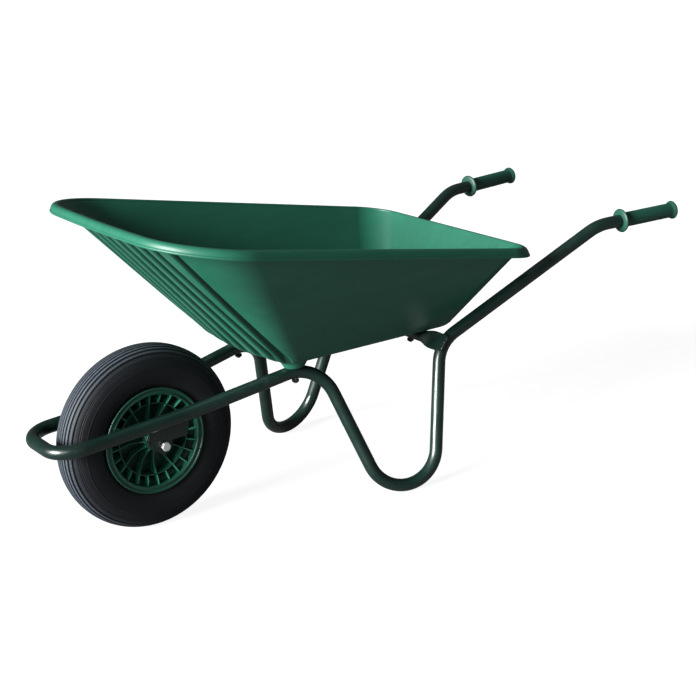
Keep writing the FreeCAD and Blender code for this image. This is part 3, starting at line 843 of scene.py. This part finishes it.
def both_sides(half):
    """A closed outline from its half on the +Y side."""
    return half + [(-y, r) for y, r in reversed(half) if y > 1e-6]


def rim_outline():
    outside = [(0.0, DROP_R + 0.0035), (0.015, DROP_R + 0.0035), (0.022, BEAD_SEAT_R),
               (0.0376, BEAD_SEAT_R)]
    flange = [(0.0384, 0.1045), (0.0408, 0.1085), (0.0422, FLANGE_R), (0.0434, 0.1085),
              (0.0434, 0.1058)]
    channel = [(0.0414, 0.1048), (0.0412, 0.1010), (0.0422, 0.0995), (0.0428, 0.0980),
               (0.0424, 0.0960)]
    inside = [(0.0410, BARREL_R), (0.024, BARREL_R), (0.017, DROP_R), (0.0, DROP_R)]
    return both_sides(outside + flange + channel + inside)


def turned_plate(name, half, index):
    """A radial plate of the wheel at one of the blade places."""
    angle = 2 * pi * index / BLADES
    out = Vector((sin(angle), 0, cos(angle)))
    outline = half + [(-y, r) for y, r in reversed(half)]
    return plate_mesh(name, outline, AXLE, ACROSS, out, BLADE_T, 0.0006, 2)


def wheel_centre():
    """Rim, inner ring, hub and web, with blades and spokes between them."""
    ring = both_sides([(0.031, RING_R - 0.0012), (0.031, RING_R + 0.0012)])
    hub = both_sides([(HUB_HALF_W, 0.011), (HUB_HALF_W, HUB_R - 0.0015),
                      (HUB_HALF_W - 0.006, HUB_R)])
    web = both_sides([(0.0055, HUB_R - 0.002), (0.0032, 0.040), (0.0026, RING_R),
                      (0.0022, DROP_R + 0.001)])
    parts = [
        wheel_ring("rim", rim_outline()),
        wheel_ring("inner_ring", ring, 144, 0.0005),
        wheel_ring("hub", hub, 72, 0.0012),
        wheel_ring("web", web, 144, 0.0004),
    ]
    blade = [(0.0305, RING_R - 0.0005), (0.0345, 0.083), (0.0372, BARREL_R + 0.0005),
             (0.022, BARREL_R + 0.0005), (0.016, DROP_R + 0.001)]
    parts += [turned_plate("blade", blade, i) for i in range(BLADES)]
    dish = smooth_line([(0.0345, HUB_R - 0.001), (0.0270, 0.031), (0.0225, 0.043),
                        (0.0235, 0.056), (0.0305, RING_R + 0.0005)], 4)
    parts += [turned_plate("spoke", dish, 2 * i) for i in range(BLADES // 2)]
    finish_piece(join("wheel_moulding", parts), "wheel", "wheel_plastic", "wheel_centre")


def tyre_contour(angle, inset):
    """(y, radius) on the tyre's rounded-square section."""
    power = 2.0 / TYRE_SQUARENESS
    radial = powered(cos(angle), power) * (TYRE_SECTION_R - inset)
    y = abs(sin(angle)) ** power * (TYRE_HALF_W - inset)
    return y, WHEEL_R - TYRE_SECTION_R + radial


def relief(y, radius):
    """How far the tyre's surface is raised, or cut in if negative."""
    depth = 0.0
    for i in range(TREAD_GROOVES):
        off = abs(abs(y) - abs((i - (TREAD_GROOVES - 1) / 2) * TREAD_PITCH))
        depth = max(depth, TREAD_DEPTH * (1 - smoothstep(0.0005, 0.0013, off)))
    crown = 0.0
    if abs(y) < TREAD_HALF_W:
        crown = 0.00035 * cos(2 * pi * y / TREAD_PITCH)
    elif abs(y) > TREAD_HALF_W:
        for line_r in SHOULDER_LINES:
            depth = max(depth, 0.0006 * (1 - smoothstep(0.0003, 0.0009, abs(radius - line_r))))
    raised = 0.0
    for ring_r in SIDEWALL_RINGS:
        raised = max(raised, 0.0005 * (1 - smoothstep(0.0003, 0.0010, abs(radius - ring_r))))
    return raised - depth + min(0.0, crown)


def tyre_outline():
    """Closed section: the outer surface, both beads and the inside."""
    outer = []
    for i in range(-TYRE_STEPS, TYRE_STEPS + 1):
        share = i / TYRE_STEPS
        angle = abs(share) ** 1.15 * TYRE_LAST_ANGLE
        y, r = tyre_contour(angle, 0.0)
        ya, ra = tyre_contour(min(angle + 0.01, TYRE_LAST_ANGLE), 0.0)
        yb, rb = tyre_contour(max(angle - 0.01, 0.0001), 0.0)
        way = Vector((ya - yb, ra - rb)).normalized()
        cut = relief(y, r)
        y, r = y - way.y * cut, r + way.x * cut
        outer.append((copysign(y, share) if i else 0.0, r))
    bead = [(0.0368, 0.1045), (0.0364, 0.1012), (0.0352, 0.1004), (0.0250, 0.1003), (0.0240, 0.1015)]
    inner = [tyre_contour(TYRE_LAST_ANGLE * i / 22, TYRE_WALL) for i in range(23)]
    inside = [(y, r) for y, r in reversed(inner)] + [(-y, r) for y, r in inner[1:]]
    return outer + bead + inside + [(-y, r) for y, r in reversed(bead)]


def tyre():
    rings = lathe_rings(tyre_outline(), AXLE, ACROSS, 224)
    made = skin("tyre_ribbed", rings, True, False, 55)
    finish_piece(made, "wheel", "tyre_rubber", "tyre")


def hub_bushes():
    """Flanged bushes, one pressed into each end of the hub."""
    bore = AXLE_R + 0.0001
    end = HUB_HALF_W + BUSH_FLANGE_T
    edge = rounded([(BUSH_START, bore), (BUSH_START, BUSH_R), (HUB_HALF_W, BUSH_R),
                    (HUB_HALF_W + 0.0001, BUSH_FLANGE_R), (end, BUSH_FLANGE_R), (end, bore)],
                   0.0007)
    for side, name in SIDES:
        made = lathe("hub_bush_black_" + name, edge, AXLE, ACROSS * side, 64, True)
        finish_piece(made, "wheel", "bush_plastic", "hub_bush_" + name)


def knurled(angle, radius):
    """Ring shape: notches round the wide part of the valve cap."""
    notch = sin(16 * angle) > 0 and radius > 0.0042
    return radius * (1 - 0.05 * notch)


def valve():
    """Valve stem and cap, along the line of the CAD parts."""
    stem_mid = middle_of(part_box("valve_stem"))
    cap_mid = middle_of(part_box("valve_cap"))
    way = (cap_mid - stem_mid).normalized()
    stem = [(-0.0150, ON_AXIS), (-0.0150, 0.0050), (-0.0070, 0.0050), (-0.0055, 0.0039),
            (0.0135, 0.0036), (0.0135, ON_AXIS)]
    made = lathe("valve_stem_brass", stem, stem_mid, way, 32)
    finish_piece(made, "wheel", "zinc_steel", "valve_stem")
    cap = [(-0.0052, 0.0040), (-0.0052, 0.0047), (0.0042, 0.0046), (0.0052, 0.0038),
           (0.0054, ON_AXIS)]
    made = lathe("valve_cap_black", cap, cap_mid, way, 96, shape=knurled)
    finish_piece(made, "wheel", "bush_plastic", "valve_cap")


# ==== tray ====

def blend(t):
    """Outline values part way up the wall, 0 at the base and 1 at the rim."""
    return {key: BASE[key] + (RIM[key] - BASE[key]) * t for key in BASE}


def outline(t, grow=0.0, lift=0.0):
    """Closed tray outline; every call has its points in the same places."""
    o = blend(t)
    taper = (o["wr"] - o["wf"]) / (o["xr"] - o["xf"])
    xf, xr = o["xf"] - grow, o["xr"] + grow
    wf, wr = o["wf"] + grow - taper * grow, o["wr"] + grow + taper * grow
    rf, rr = o["rf"] + grow, o["rr"] + grow
    flat = []
    for k in range(FRONT_COLUMNS // 2 + 1):
        flat.append((xf, (wf - rf) * k / (FRONT_COLUMNS // 2)))
    for k in range(1, CORNER_COLUMNS + 1):
        a = pi / 2 * k / CORNER_COLUMNS
        flat.append((xf + rf - rf * cos(a), wf - rf + rf * sin(a)))
    for k in range(1, SIDE_COLUMNS):
        s = k / SIDE_COLUMNS
        flat.append((xf + rf + (xr - rr - xf - rf) * s, wf + (wr - wf) * s))
    for k in range(CORNER_COLUMNS + 1):
        a = pi / 2 * k / CORNER_COLUMNS
        flat.append((xr - rr + rr * sin(a), wr - rr + rr * cos(a)))
    for k in range(1, SIDE_COLUMNS + 1):
        flat.append((xr, (wr - rr) * (1 - k / SIDE_COLUMNS)))
    points = []
    for x, y in flat + [(x, -y) for x, y in reversed(flat[1:-1])]:
        near_front = 1 - smoothstep(xf + rf * 0.2, xf + rf, x)
        x -= o["bow"] * near_front * cos(pi / 2 * min(1.0, abs(y) / wf)) ** 2
        points.append(Vector((x, y, o["z0"] + o["dz"] * x + lift)))
    return points


def front_reach(index, count, t):
    """Distance along the outline from the middle of the front."""
    step = min(index, count - index)
    o = blend(t)
    straight = o["wf"] - o["rf"]
    front = FRONT_COLUMNS // 2
    if step <= front:
        return straight * step / front
    turn = min(step - front, CORNER_COLUMNS) / CORNER_COLUMNS * pi / 2
    beyond = 10.0 if step - front > CORNER_COLUMNS else 0.0
    return straight + o["rf"] * turn + beyond


def flute_depth(reach, t):
    """Depth of the fluting at a place on the front wall."""
    ends = smoothstep(-0.02, 0.04, t) * (1 - smoothstep(0.925, 0.965, t))
    if ends == 0.0:
        return 0.0
    depth = 0.0
    spread = FLUTE_SPREAD + (1 - FLUTE_SPREAD) * t
    for i in range(FLUTE_COUNT // 2 + 1):
        off = abs(reach - i * FLUTE_PITCH * spread)
        depth = max(depth, 1 - smoothstep(FLUTE_FLOOR / 2, FLUTE_MOUTH / 2, off))
    corner = CORNER_FLUTE[0] + (CORNER_FLUTE[1] - CORNER_FLUTE[0]) * t
    off = abs(reach - corner)
    depth = max(depth, 1 - smoothstep(CORNER_FLUTE_FLOOR / 2, CORNER_FLUTE_MOUTH / 2, off))
    return FLUTE_DEPTH * depth * ends


def inward_normals():
    """Inward direction of the wall at every column of the outline."""
    low, middle, top = outline(0.0), outline(0.5), outline(1.0)
    count = len(middle)
    normals = []
    for j in range(count):
        run = middle[(j + 1) % count] - middle[j - 1]
        normal = run.cross(top[j] - low[j]).normalized()
        centre = Vector((0, 0, middle[j].z))
        if normal.dot(centre - middle[j]) < 0:
            normal = -normal
        normals.append(normal)
    return normals


def flute_shade_weights(t, count, fade=1.0):
    """How deep in a flute each point of a row lies, from 0 to 1, which sets the painted shade there.
    """
    return [flute_depth(front_reach(j, count, t), t) / FLUTE_DEPTH * fade for j in range(count)]


def between(low, top, share):
    """The row that is a share of the way from row low to row top."""
    return [a + (b - a) * share for a, b in zip(low, top)]


def fluted(row, t, normals):
    """The row with the flutes pressed in, at height share t."""
    count = len(row)
    depths = [flute_depth(front_reach(j, count, t), t) for j in range(count)]
    return [p + normal * depth for p, normal, depth in zip(row, normals, depths)]


def bezier_rows(a, b, c, steps):
    """Rows turning from row a to row c round the corner row b."""
    rows = []
    for k in range(steps + 1):
        s = k / steps
        rows.append([p * (1 - s) ** 2 + q * (2 * s * (1 - s)) + r * s * s
                     for p, q, r in zip(a, b, c)])
    return rows


def shrunk(row, share):
    """The row drawn in towards the middle of the floor."""
    slope = slope_at(row)
    return [Vector((p.x * share, p.y * share, p.z + slope * (p.x * share - p.x))) for p in row]


def slope_at(row):
    """Rise of a flat row from front to rear."""
    far = row[len(row) // 2]
    return (row[0].z - far.z) / (row[0].x - far.x)


def lip_rows():
    """The rolled rim: up from the inner wall, over, and down outside."""
    inside = [(0.0, -0.0045), (0.0002, -0.0022), (0.0012, -0.0005), (0.0034, 0.0004),
              (0.0070, 0.00055)]
    over = [(0.0110, -0.0004), (0.0142, -0.0026), (0.0166, -0.0058), (0.0182, -0.0094),
            (0.0190, -0.0118)]
    bead = [(0.0187, -0.0126), (0.0192, -0.0133), (0.0203, -0.0141), (0.0208, -0.0156),
            (0.0206, -0.0172)]
    under = [(0.0199, -0.0181), (0.0189, -0.0177), (0.0178, -0.0155), (0.0164, -0.0115),
             (0.0140, -0.0078)]
    back = [(0.0108, -0.0056), (0.0078, -0.0054), (0.0057, -0.0072), (0.0046, -0.0105)]
    line = smooth_line(inside + over + bead + under + back, 3)
    return [outline(1.0, grow, lift) for grow, lift in line]


def inner_rows(normals):
    """The floor from its middle outwards, then the inside of the walls."""
    edge, corner = outline(FLOOR_T, -WALL - 0.015), outline(FLOOR_T, -WALL)
    low, top = outline(INSIDE_LOW_T, -WALL), outline(1.0, 0.0)
    rows = [shrunk(edge, share) for share in (0.02, 0.3, 0.6, 0.8, 0.93)]
    rows += bezier_rows(edge, corner, fluted(low, INSIDE_LOW_T, normals), 9)
    for k in range(1, WALL_STEPS + 1):
        share = INSIDE_TOP * k / WALL_STEPS
        t = INSIDE_LOW_T + (1 - INSIDE_LOW_T) * share
        rows.append(fluted(between(low, top, share), t, normals))
    return rows


def outer_rows(normals):
    """The outside of the walls, downwards, and how deep in a flute their points lie, which sets the
    painted shade.
    """
    low, top = outline(OUTSIDE_LOW_T, 0.0), outline(1.0, WALL, -0.0015)
    rows = []
    marks = []
    for k in range(WALL_STEPS + 1):
        share = OUTSIDE_TOP * (1 - k / WALL_STEPS)
        t = OUTSIDE_LOW_T + (1 - OUTSIDE_LOW_T) * share
        rows.append(fluted(between(low, top, share), t, normals))
        marks += flute_shade_weights(t, len(normals))
    return rows, marks


def tray():
    """One closed skin: floor, inside, rim, outside and underside."""
    normals = inward_normals()
    count = len(normals)
    rows = inner_rows(normals) + lip_rows()
    marks = [0.0] * (count * len(rows))
    outside, outside_flute_shade = outer_rows(normals)
    rows += outside
    marks += outside_flute_shade
    under = outline(0.0, -0.013)
    rows += bezier_rows(rows[-1], outline(0.0, 0.0), under, BASE_STEPS)[1:]
    # The painted flute shade fades out round the base.
    for k in range(1, BASE_STEPS + 1):
        marks += flute_shade_weights(OUTSIDE_LOW_T, count, 1 - k / BASE_STEPS)
    rows += [shrunk(under, share) for share in (0.9, 0.7, 0.4, 0.02)]
    marks += [0.0] * (count * len(rows) - len(marks))
    made = skin("tray_moulding", rows, sharp_deg=60)
    # The groove attribute carries the painted shade that the tray material lays in the flutes.
    made.data.attributes.new("groove", "FLOAT", "POINT").data.foreach_set("value", marks)
    finish_piece(made, "frame", "tray_plastic", "tray")


# ==== tray fixings ====

def tray_washer(place, tag, middle, up):
    span = (-TRAY_WASHER_HALF_T, TRAY_WASHER_HALF_T)
    made = flat_ring(place + "_washer_zinc" + tag, middle, up, span, TRAY_WASHER_HOLE_R,
                     TRAY_WASHER_R, 0.0004, 64)
    finish_zinc(made, place + "_washer" + tag)


def tray_bolt(place, tag, washer, length, up):
    """Domed head on the washer, and a shank of the given length below it."""
    seat = TRAY_WASHER_HALF_T
    dome = [(seat, ON_AXIS), (seat, TRAY_HEAD_R)]
    angles = [pi / 2 * k / 10 for k in range(1, 10)]
    dome += [(seat + TRAY_HEAD_T * sin(a), TRAY_HEAD_R * cos(a)) for a in angles]
    dome.append((seat + TRAY_HEAD_T, ON_AXIS))
    head = lathe("head", dome, washer, up, 56)
    stem = [(-length + 0.0002, ON_AXIS), (-length + 0.0002, 0.0030),
            (-length + 0.0014, TRAY_BOLT_R), (0.0012, TRAY_BOLT_R), (0.0012, ON_AXIS)]
    shank = lathe("shank", stem, washer, up, 32)
    made = join(place + "_bolt_zinc" + tag, [head, shank])
    finish_zinc(made, place + "_bolt" + tag)


def tray_nut(place, tag, middle, up):
    body = hex_profile(TRAY_NUT_T, TRAY_NUT_FACE_R, TRAY_NUT_HEX, True)
    made = lathe(place + "_nut_zinc" + tag, body, middle - up * (TRAY_NUT_T / 2), up, 72,
                 shape=hexagonal(TRAY_NUT_HEX))
    # The nut takes the darker zinc copy, painted shade.
    finish_zinc(made, place + "_nut" + tag, finish=ZINC_PAINTED_SHADE)


def tray_fixings():
    """Bolts, washers and nuts through the tray floor and the tubes."""
    floor_up = Vector((-BASE["dz"], 0, 1)).normalized()
    for place in ("front", "rear"):
        for _, side in SIDES:
            tag = "_" + side
            washer = middle_of(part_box(place + "_washer" + tag))
            bolt_low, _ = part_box(place + "_bolt" + tag)
            tray_washer(place, tag, washer, floor_up)
            tray_bolt(place, tag, washer, washer.z - bolt_low.z, floor_up)
            tray_nut(place, tag, middle_of(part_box(place + "_nut" + tag)), floor_up)


def tray_feet():
    """Flared pads that seat the tray on the humps and the cross tube."""
    kinds = (("front", 0.023, 0.0135, 0.92), ("rear", 0.018, 0.0115, 1.0))
    for place, radius, sink, squeeze in kinds:
        for _, side in SIDES:
            nut_low, nut_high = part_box(place + "_nut_" + side)
            middle = (nut_low + nut_high) / 2
            top = BASE["z0"] + BASE["dz"] * middle.x + 0.0006
            low = nut_high.z + 2 * sink
            rings = []
            for share, spread in FOOT_FLARE:
                z = low + (top - low) * share
                along = radius + spread
                across = along * squeeze
                rings.append([Vector((middle.x + along * cos(a),
                                      middle.y + across * sin(a), z)) for a in turns(64)])
            made = skin("tray_foot_" + place + "_" + side, rings)
            finish_piece(made, "frame", "tray_plastic")


# ==== grips ====

def grip_profile():
    """(distance from the grip's end towards the wheel, radius)."""
    points = [(-0.0033, ON_AXIS), (-0.0033, END_FLANGE_R - 0.0040),
              (-0.0024, END_FLANGE_R - 0.0016), (-0.0004, END_FLANGE_R - 0.0001),
              (0.0022, END_FLANGE_R - 0.0006), (0.0048, END_FLANGE_R - 0.0028),
              (0.0078, GRIP_R + 0.0002)]
    start, end = 0.0095, GRIP_LEN - 0.0110
    pitch = (end - start) / GRIP_RIBS
    for k in range(GRIP_RIBS):
        a = start + (end - start) * k / GRIP_RIBS
        points += [(a, GRIP_R - 0.0004), (a + pitch * 0.25, GRIP_R + 0.00005),
                   (a + pitch * 0.62, GRIP_R + 0.00005)]
    collar = [(-0.0100, GRIP_R), (-0.0066, GRIP_R + 0.0016), (-0.0040, COLLAR_R - 0.0036),
              (-0.0024, COLLAR_R - 0.0008), (-0.0004, COLLAR_R - 0.0001),
              (0.0014, COLLAR_R - 0.0008), (0.0026, COLLAR_R - 0.0030),
              (0.0029, TUBE_R + 0.0022), (0.0030, TUBE_R + 0.0001)]
    return points + [(GRIP_LEN + along, radius) for along, radius in collar]


def grips():
    for side, name in SIDES:
        end = on_side(GRIP_END, side)
        back = (on_side(SHOULDER, side) - end).normalized()
        made = lathe("hand_grip_" + name, grip_profile(), end, back, 72, sharp_deg=50)
        finish_piece(made, "frame", "grip_plastic", "grip_" + name)


# ==== stage and light ====

def stage_material():
    """White paper that glows to the camera alone, so its shadows stay soft."""
    made = bpy.data.materials.new("studio_paper")
    made.use_nodes = True
    tree = made.node_tree
    shader = tree.nodes["Principled BSDF"]
    seen = tree.nodes.new("ShaderNodeLightPath").outputs["Is Camera Ray"]
    feed(tree, shader, Base_Color=(0.17, 0.175, 0.175, 1), Roughness=0.95,
         Specular_IOR_Level=0.0, Emission_Color=(1, 1, 1, 1),
         Emission_Strength=times(tree, seen, PAPER_GLOW))
    return made


def stage():
    signs = ((-1, -1), (1, -1), (1, 1), (-1, 1))
    corners = [Vector((x * FLOOR_REACH, y * FLOOR_REACH, FLOOR_Z)) for x, y in signs]
    made = make_object("studio_floor", corners, [(0, 1, 2, 3)])
    made.data.materials.append(stage_material())


def camera():
    """The camera stands off the front left and looks down a little."""
    low, high = cad_bounds
    centre = Vector(((low.x + high.x) / 2, (low.y + high.y) / 2, (low.z + high.z) / 2))
    data = bpy.data.cameras.new("camera")
    data.lens = LENS
    data.sensor_width = 36.0
    made = bpy.data.objects.new("camera", data)
    forward = Vector((sin(CAMERA_YAW) * cos(CAMERA_PITCH),
                      cos(CAMERA_YAW) * cos(CAMERA_PITCH), -sin(CAMERA_PITCH)))
    right = Vector((cos(CAMERA_YAW), -sin(CAMERA_YAW), 0))
    down = forward.cross(right)
    rolled_right = right * cos(CAMERA_ROLL) + down * sin(CAMERA_ROLL)
    rolled_up = right * sin(CAMERA_ROLL) - down * cos(CAMERA_ROLL)
    turn = Matrix((rolled_right, rolled_up, -forward)).transposed()
    made.matrix_world = Matrix.Translation(centre + CAMERA_OFFSET) @ turn.to_4x4()
    data.clip_end = 60.0
    bpy.context.scene.collection.objects.link(made)
    bpy.context.scene.camera = made


def put_light(name, kind, way, strength, gloss, colour):
    """A light at the origin that shines along a direction."""
    data = bpy.data.lights.new(name, kind)
    data.energy = strength
    data.specular_factor = gloss
    data.color = colour
    made = bpy.data.objects.new(name, data)
    made.rotation_mode = "QUATERNION"
    made.rotation_quaternion = way.to_track_quat("-Z", "Y")
    bpy.context.scene.collection.objects.link(made)
    return made


def area_light(name, place, target, width, height, power, gloss, colour):
    made = put_light(name, "AREA", target - place, power, gloss, colour)
    made.location = place
    made.data.shape = "RECTANGLE"
    made.data.size = width
    made.data.size_y = height


def sun(name, azimuth, elevation, strength, spread, gloss, colour):
    """Even light from a direction; azimuth is in degrees from +X towards +Y."""
    a, e = radians(azimuth), radians(elevation)
    way = Vector((cos(a) * cos(e), sin(a) * cos(e), sin(e)))
    made = put_light(name, "SUN", -way, strength, gloss, colour)
    made.data.angle = radians(spread)


def lights():
    middle = Vector((0, 0, 0.35))
    sun("key", azimuth=182.0, elevation=18.0, strength=12.0, spread=28.0,
        gloss=0.6, colour=(1.0, 0.995, 0.98))
    area_light("strip_front", Vector((-2.6, -1.5, 1.5)), middle, width=0.5, height=1.4,
               power=9.0, gloss=1.0, colour=(1.0, 1.0, 1.0))
    area_light("top", Vector((-0.4, 0.2, 3.2)), middle, width=2.6, height=2.0,
               power=2.2, gloss=0.6, colour=(0.97, 0.99, 1.0))
    area_light("front_fill", Vector((-1.2, -3.4, 1.8)), middle, width=2.4, height=1.6,
               power=3.0, gloss=0.0, colour=(0.98, 0.99, 1.0))


def surroundings():
    """White to the camera, and a dim grey to everything else."""
    world = bpy.data.worlds.new("studio")
    world.use_nodes = True
    tree = world.node_tree
    background = tree.nodes["Background"]
    seen = tree.nodes.new("ShaderNodeLightPath").outputs["Is Camera Ray"]
    colour = mixed(tree, seen, (0.095, 0.105, 0.105, 1), (1.0, 1.0, 1.0, 1))
    tree.links.new(colour, background.inputs["Color"])
    bpy.context.scene.world = world
    bpy.context.scene.view_settings.view_transform = "Standard"


def main():
    frame_tube()
    cross_tube()
    cross_welds()
    for side, name in SIDES:
        bracket(side, name)
    axle_hardware()
    wheel_centre()
    tyre()
    hub_bushes()
    valve()
    tray()
    tray_feet()
    tray_fixings()
    grips()
    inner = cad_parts["inner_tube"]
    inner.data.materials.clear()
    inner.data.materials.append(MATERIALS["tube_rubber"])
    stage()
    camera()
    lights()
    surroundings()


main()
